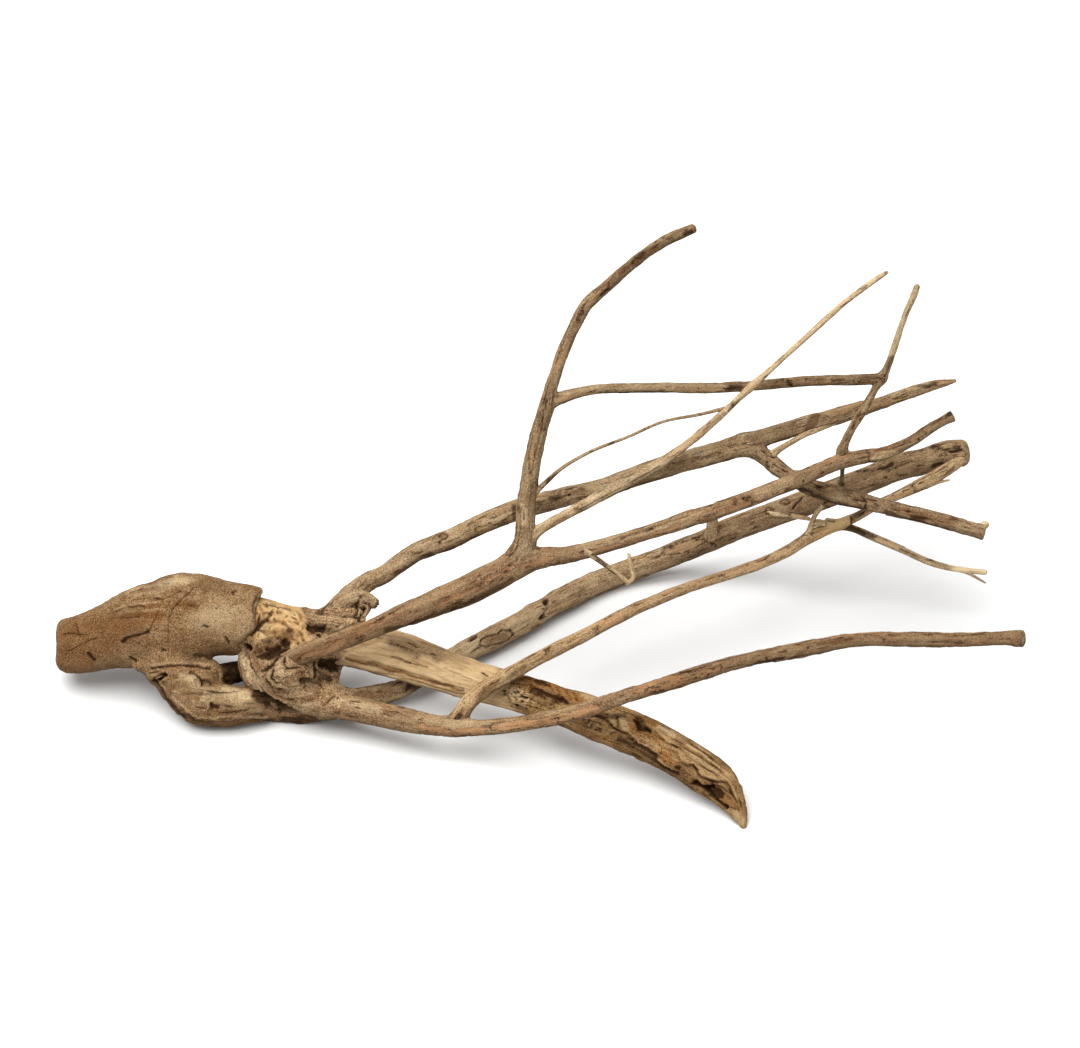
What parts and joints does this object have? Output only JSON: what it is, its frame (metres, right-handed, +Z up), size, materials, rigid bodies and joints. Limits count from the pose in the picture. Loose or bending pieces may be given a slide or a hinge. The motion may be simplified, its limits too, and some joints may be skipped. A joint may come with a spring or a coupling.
{
  "type": "spiderwood root",
  "caption": "Weathered branching root wood with a stout stub, a gnarled knot and a fan of long thin limbs, for a tank, terrarium or shelf.",
  "frame": {"origin": "middle of the bounding box at ground level, with the root standing as it rests", "axes": "+X from the cut trunk stub towards the limb tips, +Z up, the slab-like limb reaches out to -Y"},
  "size_m": [0.4719, 0.2095, 0.2296],
  "materials": {
    "weathered_wood": "weathered bark and bare wood, dry and matte"
  },
  "bodies": {
    "root": {"spiderwood_root": "weathered_wood"}
  },
  "joints": []
}
